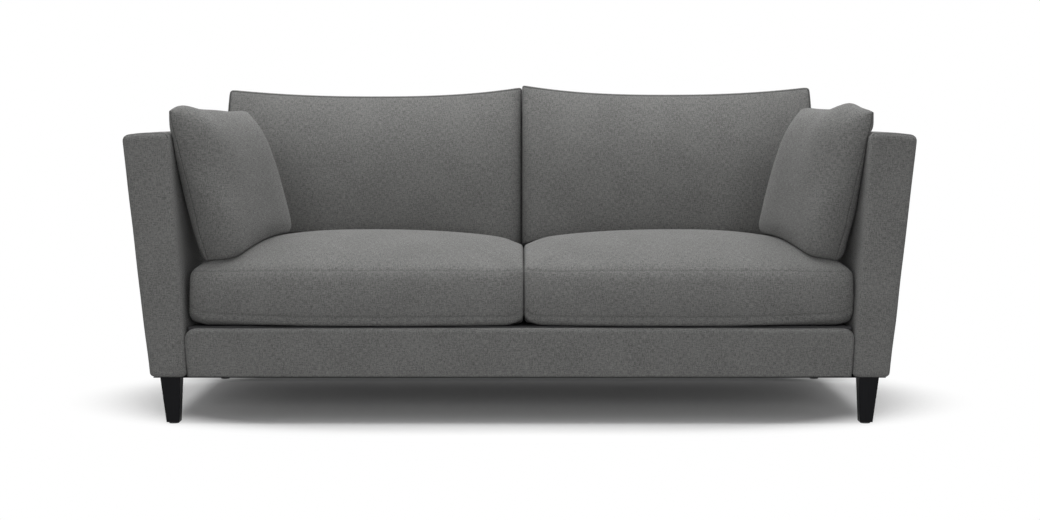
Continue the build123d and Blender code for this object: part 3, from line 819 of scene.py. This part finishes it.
def seat_form(point, span, outward):
    """The filled shape of a seat cushion, for a point of its two-unit blank."""
    half = Vector(((span[1] - span[0]) / 2, (seat_rear - seat_front_set) / 2, seat_edge / 2))
    box = Vector([p * h for p, h in zip(point, half)])
    inner = ease((-point.x * outward - seat_meeting_from) / (1 - seat_meeting_from))
    radius = seat_round + ease((point.z + 1) / 2) * (seat_top_round - seat_inner_round * inner)
    box = soften(box, half, radius)
    across = box.x / half.x
    deep = seat_front_set + half.y + box.y
    share = box.z / seat_edge + 0.5
    side = outer_side_height if across * outward > 0 else inner_side_height
    crown = side + (seat_crown - side) * (1 - abs(across) ** seat_crown_power)
    if deep < seat_crown_at:
        slope = (seat_crown_at - deep) / (seat_crown_at - seat_front_set)
        top = seat_edge + (crown - seat_edge) * (1 - slope**2)
    else:
        slope = (deep - seat_crown_at) / (seat_rear - seat_crown_at)
        top = seat_rear_edge + (crown - seat_rear_edge) * (1 - slope**2)
    up = seat_lift + share * top
    near_front = ease((seat_hem[1] - deep) / (seat_hem[1] - seat_hem[0]))
    corner = ease((abs(across) - seat_corner_from) / (1 - seat_corner_from))
    corner *= ease((seat_corner_reach[1] - deep) / (seat_corner_reach[1] - seat_corner_reach[0]))
    tip = seat_tips[0] if across * outward > 0 else seat_tips[1]
    up += (1 - share) * ((tip * across**2 - seat_sag) * near_front + seat_corner_lift * corner)
    facing = max(0.0, 1 - (deep - seat_front_set) / seat_front_reach) ** 2
    bulge = seat_bulge * (1 - (2 * share - 1) ** 2)
    bow = seat_bow[0] * across**2 + seat_bow[1] * across**8
    deep += facing * (bow - bulge)
    return (span[0] + span[1]) / 2 + box.x, deep, up


seat_counts = (62, 54, 12)
seat_lower_seam = -2 / 3
seat_fill_cap = 0.008
seat_held_share = 0.97  # of the width of its bottom, which lies on the platform
cushion_pressure = 3.0
arm_clearance = 0.0015
seat_arm_gap = 0.0012
seats = []
for side, outward in (("left", -1), ("right", 1)):
    span = seat_spans[side]
    bm = sewn_blank(seat_counts)
    mark_seams(bm, lambda place: place.z > blank_end or abs(place.z - seat_lower_seam) < near, (0, 1))
    held = [
        v.index for v in bm.verts
        if v.co.y > blank_end or (v.co.z < -blank_end and abs(v.co.x) < seat_held_share)
    ]
    local = {v.index: seat_form(v.co, span, outward) for v in bm.verts}
    cut_cloth(bm, local, ((1, 2), (0, 2), (0, 1)))
    for v in bm.verts:
        v.co = seat_place(*local[v.index])
    seat = add_piece(
        f"seat_cushion_{side}", bm, cloth, "upholstery", f"seat_cushion_{side}",
        f"seat_cushion_cover_{side}", f"seat_cushion_core_{side}",
    )
    stuff(seat, held, seat_fill_cap, cushion_pressure)
    for v in seat.data.vertices:
        room = arm_inside(v.co.z) - arm_clearance
        low, high = (-room, seat_meet[side]) if side == "left" else (seat_meet[side], room)
        v.co.x = max(low, min(high, v.co.x))
    settle(seat, seat_arm_gap, Vector((-outward, 0.0, 0.0)), arms[side])
    sew(seat, *seat_seam)
    open_zip(seat, seat_place(outward * seat_zip_x, seat_rear, seat_zip_height), seat_pitch)
    finish_cushion(seat)
    seats.append(seat)

# Back cushions: fibre-filled covers with a front and a rear panel, their top corners pulled up into ears.
# They stand on the seat cushions and lean against the inside back, with a zip low down behind.
back_recline = math.atan(back_lean / frame_rise)
back_ref = 0.400
back_ref_y = behind(back_ref) - back_depth
back_spans = {"left": (-0.8825, 0.0110), "right": (0.0020, 0.8825)}
back_meet = {"left": 0.0053, "right": 0.0061}  # where the two press together
back_slant = 0.013  # how far that plane turns from the line of sight
back_slant_y = 0.24
back_ears = {"left": (0.889, 0.897), "right": (0.904, 0.897)}
back_dips = {"left": 0.868, "right": 0.873}
back_ear_power = 2.4
back_slack = 0.3
back_off = 0.003  # from the inside back
back_foot_rise = 0.007
back_foot_lift = 0.032  # of the front of the foot, over the crown of the seat
back_drop = 0.034  # and its fall towards the corners
back_spread = 0.009  # how much wider the top is
back_round_off = 0.008
back_drop_from = 0.5  # share of the half width
back_thick = (0.150, 0.180, 0.092)  # at the foot, the belly and the top
back_belly = 0.45  # share of the height
back_taper_power = 2.2
back_roll = {"left": 0.42, "right": 0.16}  # share of the thickness that rolls off where the two meet
back_roll_from = 0.94
back_blank = (0.16, 0.48)  # thickness and height of the flat blank that is rounded
# width, depth and painted shade of the stitched groove
back_seam = (0.005, 0.0018, 1.0)
back_zip_x = 0.44275
back_zip_height = 0.090


def back_place(x, rise, out):
    """A point in front of the leaning inside back."""
    return Vector((
        x,
        back_ref_y + rise * math.sin(back_recline) - out * math.cos(back_recline),
        back_ref + rise * math.cos(back_recline) + out * math.sin(back_recline),
    ))


def back_form(point, span, ears, dip, roll):
    """The filled shape of a back cushion, for a point of its two-unit blank: x, rise and thickness."""
    half = Vector(((span[1] - span[0]) / 2, back_blank[0] / 2, back_blank[1] / 2))
    box = soften(Vector([p * h for p, h in zip(point, half)]), half, back_round_off)
    across = box.x / half.x
    out_share = 0.5 - box.y / back_blank[0]
    rise_share = box.z / back_blank[1] + 0.5
    foot_thick, belly, top_thick = back_thick
    if rise_share < back_belly:
        thick = belly - (belly - foot_thick) * ((back_belly - rise_share) / back_belly) ** 2
    else:
        slope = (rise_share - back_belly) / (1 - back_belly)
        thick = belly - (belly - top_thick) * slope**back_taper_power
    thick *= 1 - back_slack * across**4
    inner = -across if span[0] > 0 else across
    thick *= 1 - roll * ease((inner - back_roll_from) / (1 - back_roll_from))
    out = back_off + out_share * (thick - back_off)
    ear = ears[0] + (ears[1] - ears[0]) * (across + 1) / 2
    top = dip + (ear - dip) * abs(across) ** back_ear_power
    top = (top - back_ref - out * math.sin(back_recline)) / math.cos(back_recline)
    lift = back_foot_lift - back_drop * ease((abs(across) - back_drop_from) / (1 - back_drop_from))
    foot = back_foot_rise + lift * out / foot_thick
    wide = 1 + back_spread * rise_share * max(0.0, -inner)
    return (span[0] + span[1]) / 2 + box.x * wide, foot + rise_share * (top - foot), out


back_counts = (62, 10, 36)
back_fill_cap = 0.008
soft_gap = 0.002  # between a cushion and what it lies on
for side, outward in (("left", -1), ("right", 1)):
    span = back_spans[side]
    bm = sewn_blank(back_counts)
    mark_seams(bm, lambda place: abs(place.y) > blank_end, (0, 2))
    held = [v.index for v in bm.verts if max(v.co.y, abs(v.co.z), -v.co.x * outward) > blank_end]
    cut = (span, back_ears[side], back_dips[side], back_roll[side])
    local = {v.index: back_form(v.co, *cut) for v in bm.verts}
    cut_cloth(bm, local, ((2, 1), (0, 1), (0, 2)))
    for v in bm.verts:
        v.co = back_place(*local[v.index])
    back = add_piece(
        f"back_cushion_{side}", bm, cloth, "upholstery", f"back_cushion_{side}",
        f"back_cushion_cover_{side}", f"back_cushion_core_{side}",
    )
    stuff(back, held, back_fill_cap, cushion_pressure)
    settle(back, soft_gap, Vector((0.0, 0.0, 1.0)), *seats)
    for v in back.data.vertices:
        room = arm_inside(v.co.z) - arm_clearance if v.co.z < arm_top else 1.0
        meet = back_meet[side] + back_slant * (v.co.y - back_slant_y)
        low, high = (-room, meet) if side == "left" else (meet, room)
        v.co.x = max(low, min(high, v.co.x))
    sew(back, *back_seam)
    open_zip(back, back_place(outward * back_zip_x, back_zip_height, back_off), back_recline)
    finish_cushion(back)

# Scatter cushions: two loose feather-filled squares with one seam round the edge, propped against the arms.
# They stand on the seat cushions, fat below where the filling sinks, with thin tops and pointed corners.
scatter_corners = {  # front foot, front top, rear top, rear foot
    "left": (
        (-0.830, -0.374, 0.403), (-0.918, -0.445, 0.826), (-0.764, -0.078, 0.825), (-0.684, 0.080, 0.476)
    ),
    "right": (
        (0.843, -0.366, 0.406), (0.926, -0.447, 0.824), (0.792, -0.080, 0.830), (0.714, 0.078, 0.476)
    ),
}
scatter_crest = {  # rises of the top edge: place along it, width, height
    "left": ((-0.69, 0.24, 0.009), (0.5, 0.35, -0.004)),
    "right": ((-0.37, 0.26, 0.016), (0.95, 0.25, 0.003)),
}
scatter_fold = {  # a crease below the top edge: both ends along and up the face, and its depth
    "left": (-0.42, 0.97, -0.20, 0.84, 0.005),
    "right": (0.10, 1.00, -0.08, 0.72, 0.006),
}
scatter_fold_width = 0.06
scatter_belly = {"left": 0.090, "right": 0.082}
scatter_hollow = 0.050
scatter_edge = 0.0035
scatter_sink = 0.012
scatter_round = 0.045
scatter_foot_round = 1.4  # how much rounder the front foot is
scatter_fill_cap = 0.008
scatter_relaxing = 6
# width, depth and painted shade of the stitched groove
scatter_seam = (0.0022, 0.0010, 0.6)
scatter_counts = (56, 2, 56)


def scatter_full(along, rise, front):
    """How full a scatter cushion is at a point of its face, 0 at an edge and 1 where it is fattest.

    High powers keep it full almost to that edge, as at its foot, and low ones let it thin out.
    """
    sunk = ease((0.35 - rise) / 0.9)
    if along > 0:
        side = 1 - along**4
    elif front:
        side = (1 - sunk) * (1 - along**4) ** 0.7 + sunk * (1 - along**12) ** 0.45
    else:
        side = (1 - along**4) ** 0.6
    if rise > 0:
        return side * (1 - rise**4) ** 0.75 * (1 - 0.12 * rise)
    return side * (1 - rise**12) ** 0.45


def relax(piece, rounds):
    """Evens out the cloth of a cover, all but its stitched edge."""
    bm = bmesh.new()
    bm.from_mesh(piece.data)
    stitched = {v for e in bm.edges if e.seam for v in e.verts}
    loose = [v for v in bm.verts if v not in stitched]
    for _ in range(rounds):
        bmesh.ops.smooth_vert(
            bm, verts=loose, factor=0.5, use_axis_x=True, use_axis_y=True, use_axis_z=True
        )
    bm.to_mesh(piece.data)
    bm.free()


for side, outward in (("left", -1), ("right", 1)):
    front_foot, front_top, rear_top, rear_foot = [Vector(c) for c in scatter_corners[side]]
    facing = (rear_top - front_foot).cross(front_top - rear_foot).normalized()
    if facing.x * outward > 0:
        facing.negate()
    bm = sewn_blank(scatter_counts)
    for e in bm.edges:
        e.seam = all(abs(v.co.y) < near for v in e.verts)
    held = [v.index for v in bm.verts if min(abs(v.co.x), abs(v.co.z)) > blank_end]
    face_places = [(math.sin(v.co.x * math.pi / 2), math.sin(v.co.z * math.pi / 2)) for v in bm.verts]
    fronts = [v.co.y < 0 for v in bm.verts]
    for v in bm.verts:
        along, rise = face_places[v.index]
        rounded = scatter_round * (scatter_foot_round if along < 0 and rise < 0 else 1)
        drawn_along = along * (1 - rounded * rise**8)
        drawn_rise = rise * (1 - rounded * along**8)
        foot = front_foot + (rear_foot - front_foot) * (drawn_along + 1) / 2
        top = front_top + (rear_top - front_top) * (drawn_along + 1) / 2
        for at, wide, high in scatter_crest[side]:
            top.z += high * math.exp(-(((along - at) / wide) ** 2))
        full = scatter_full(along, rise, v.co.y < 0)
        depth = scatter_belly[side] if v.co.y < 0 else scatter_hollow
        place = foot + (top - foot) * (drawn_rise + 1) / 2
        place -= facing * v.co.y * (scatter_edge + depth * full)
        place.z -= scatter_sink * full * ease(-rise)
        v.co = place
    weave_map(bm)
    scatter = add_piece(
        f"scatter_cushion_{side}", bm, cloth, "upholstery", f"scatter_cushion_{side}",
        f"scatter_cover_{side}", f"scatter_core_{side}",
    )
    stuff(scatter, held, scatter_fill_cap, cushion_pressure)
    start_along, start_rise, end_along, end_rise, fold_depth = scatter_fold[side]
    run = Vector((end_along - start_along, end_rise - start_rise))
    for v, (along, rise), front in zip(scatter.data.vertices, face_places, fronts):
        off = Vector((along - start_along, rise - start_rise))
        share = max(0.0, min(1.0, off.dot(run) / run.length_squared))
        away = (off - run * share).length
        if front:
            v.co -= facing * fold_depth * math.exp(-((away / scatter_fold_width) ** 2)) * (1 - share**2)
    for rounds in (scatter_relaxing, 0):
        settle(scatter, soft_gap, Vector((0.0, 0.0, 1.0)), *seats)
        settle(scatter, soft_gap, Vector((-outward, 0.0, 0.0)), arms[side])
        relax(scatter, rounds)
    sew(scatter, *scatter_seam)
    finish_cushion(scatter)

# Zips: woven tape with nylon coils, and a cast metal slider on each.
# They close the rear panels of the seat and back cushions.
zip_tape, tape_shader = new_finish("zip_tape", (0.05, 0.05, 0.052), 0.8)
teeth = add_node(zip_tape, "TexCoord", {}).outputs["Object"]
teeth = add_node(
    zip_tape, "TexWave", {"Vector": teeth, "Scale": 150.0}, wave_type="BANDS", bands_direction="X"
).outputs[1]
shade(zip_tape, tape_shader, teeth, (0.035, 0.035, 0.036), (0.075, 0.075, 0.078))
emboss(zip_tape, tape_shader, teeth, 0.0006)
zip_metal = mottled_finish(
    "zip_metal", (0.25, 0.25, 0.27), 0.4, ((0.20, 0.20, 0.215), (0.30, 0.30, 0.32)), 900.0, metallic=1.0
)
for side in ("left", "right"):
    dress(zip_tape, f"seat_zip_{side}", f"back_zip_{side}")
    dress(zip_metal, f"seat_zip_slider_{side}", f"back_zip_slider_{side}")

# Studio: a white floor that keeps the shadow and has a painted shadow under the sofa's rear edge, a softbox
# overhead and a pale surround.
# The camera stands in front of the sofa, a little above the arms, and looks slightly down.
floor_grey = (0.28, 0.28, 0.28)  # what the floor is to the lamps' light
painted_shadow_span = (0.26, 0.38)  # where a painted shadow darkens the floor under the rear edge, to the camera
behind_sofa = (0.415, 0.50)  # and where it is white again
# how dark that painted shadow makes the floor
painted_shadow_level = 0.12
shadow_oval = (0.9, 1.6, 1.0)  # past this oval the floor fades to white
shadow_fade = (0.90, 1.18)
floor_half = 30.0
floor_paint, floor_shader = new_finish("studio_floor", floor_grey, 0.9)
floor_shader.inputs["Specular IOR Level"].default_value = 0.0


def pale_rays(owner):
    """1 for rays that see the pale background: straight from the camera, or by gloss or glass."""
    path = add_node(owner, "LightPath", {})
    chosen = path.outputs["Is Camera Ray"]
    for kind in ("Is Glossy Ray", "Is Transmission Ray"):
        chosen = add_node(
            owner, "Math", {0: chosen, 1: path.outputs[kind]}, operation="MAXIMUM"
        ).outputs[0]
    return chosen


def step_between(value, ends, low=0.0, high=1.0):
    """A smooth step in the floor's finish, from low to high between two values."""
    ranges = {"Value": value, "From Min": ends[0], "From Max": ends[1], "To Min": low, "To Max": high}
    return add_node(floor_paint, "MapRange", ranges, interpolation_type="SMOOTHSTEP").outputs[0]


looking = pale_rays(floor_paint)
spot = add_node(floor_paint, "TexCoord", {}).outputs["Object"]
depth = add_node(floor_paint, "SeparateXYZ", {"Vector": spot}).outputs["Y"]
# Painted shadow: to the camera the floor goes dark in a band under the sofa's rear edge, and white again
# behind it.
painted_floor_shadow = step_between(depth, painted_shadow_span, 1.0, painted_shadow_level)
beyond = step_between(depth, behind_sofa)
shown_with_painted_shadow = add_node(floor_paint, "Math", {0: painted_floor_shadow, 1: beyond}, operation="MAXIMUM").outputs[0]
pale = {0: looking, 6: (*floor_grey, 1.0), 7: shown_with_painted_shadow}
pale = add_node(floor_paint, "Mix", pale, data_type="RGBA").outputs[2]
floor_paint.node_tree.links.new(pale, floor_shader.inputs["Base Color"])
oval = add_node(floor_paint, "Mapping", {"Vector": spot, "Scale": shadow_oval}).outputs[0]
reach = add_node(floor_paint, "VectorMath", {0: oval}, operation="LENGTH").outputs["Value"]
faded = step_between(reach, shadow_fade)
seen = add_node(floor_paint, "Math", {0: faded, 1: looking}, operation="MULTIPLY").outputs[0]
glow = add_node(floor_paint, "Emission", {"Color": (1.0, 1.0, 1.0, 1.0), "Strength": 1.0}).outputs[0]
blend = add_node(floor_paint, "MixShader", {0: seen, 1: floor_shader.outputs[0], 2: glow}).outputs[0]
clear = add_node(floor_paint, "BsdfTransparent", {}).outputs[0]
below = add_node(floor_paint, "NewGeometry", {}).outputs["Backfacing"]
one_sided = add_node(floor_paint, "MixShader", {0: below, 1: blend, 2: clear}).outputs[0]
floor_out = floor_paint.node_tree.nodes["Material Output"]
floor_paint.node_tree.links.new(one_sided, floor_out.inputs["Surface"])
bm = bmesh.new()
bmesh.ops.create_grid(bm, x_segments=2, y_segments=2, size=floor_half)
floor_mesh = bpy.data.meshes.new("floor")
bm.to_mesh(floor_mesh)
bm.free()
floor_mesh.materials.append(floor_paint)
floor = bpy.data.objects.new("floor", floor_mesh)
scene.collection.objects.link(floor)

sky_front = 0.43  # the surround's strength before the sofa and behind it
sky_rear = 0.32
sky_turn = (-0.2, 0.8)
world = bpy.data.worlds.new("studio")
world.use_nodes = True
scene.world = world
toward = add_node(world, "TexCoord", {}).outputs["Generated"]
toward = add_node(world, "SeparateXYZ", {0: toward}).outputs["Y"]
strength = add_node(
    world, "MapRange",
    {
        "Value": toward, "From Min": sky_turn[0], "From Max": sky_turn[1],
        "To Min": sky_front, "To Max": sky_rear,
    },
).outputs[0]
sky = world.node_tree.nodes["Background"]
sky.inputs["Color"].default_value = (1.0, 1.0, 1.0, 1.0)
world.node_tree.links.new(strength, sky.inputs["Strength"])
white = add_node(world, "Background", {"Color": (1.0, 1.0, 1.0, 1.0)}).outputs[0]
surround = add_node(world, "MixShader", {0: pale_rays(world), 1: sky.outputs[0], 2: white}).outputs[0]
world.node_tree.links.new(surround, world.node_tree.nodes["World Output"].inputs["Surface"])


def softbox(name, place, aim, width, depth, watts):
    """A rectangular lamp that looks at a point."""
    lamp = bpy.data.lights.new(name, "AREA")
    lamp.shape = "RECTANGLE"
    lamp.size = width
    lamp.size_y = depth
    lamp.energy = watts
    hung = bpy.data.objects.new(name, lamp)
    hung.location = place
    hung.rotation_euler = (Vector(aim) - Vector(place)).to_track_quat("-Z", "Y").to_euler()
    scene.collection.objects.link(hung)


softbox("overhead", place=(0.0, 0.35, 3.4), aim=(0.0, 0.1, 0.4), width=5.0, depth=3.2, watts=138.0)
softbox("front_fill", place=(0.0, -6.5, 1.4), aim=(0.0, 0.0, 0.4), width=5.0, depth=2.4, watts=142.0)

camera_back = 4.9454
camera_height = 0.7845
camera_tilt = math.radians(2.2)
lens = bpy.data.cameras.new("camera")
lens.lens = 59.772
lens.sensor_width = 36.0
lens.sensor_fit = "HORIZONTAL"
lens.shift_y = -0.0672
lens.shift_x = 0.00035
camera = bpy.data.objects.new("camera", lens)
camera.location = (0.0, -camera_back, camera_height)
camera.rotation_euler = (math.pi / 2 - camera_tilt, 0.0, 0.0)
scene.collection.objects.link(camera)
scene.camera = camera
scene.view_settings.view_transform = "Standard"
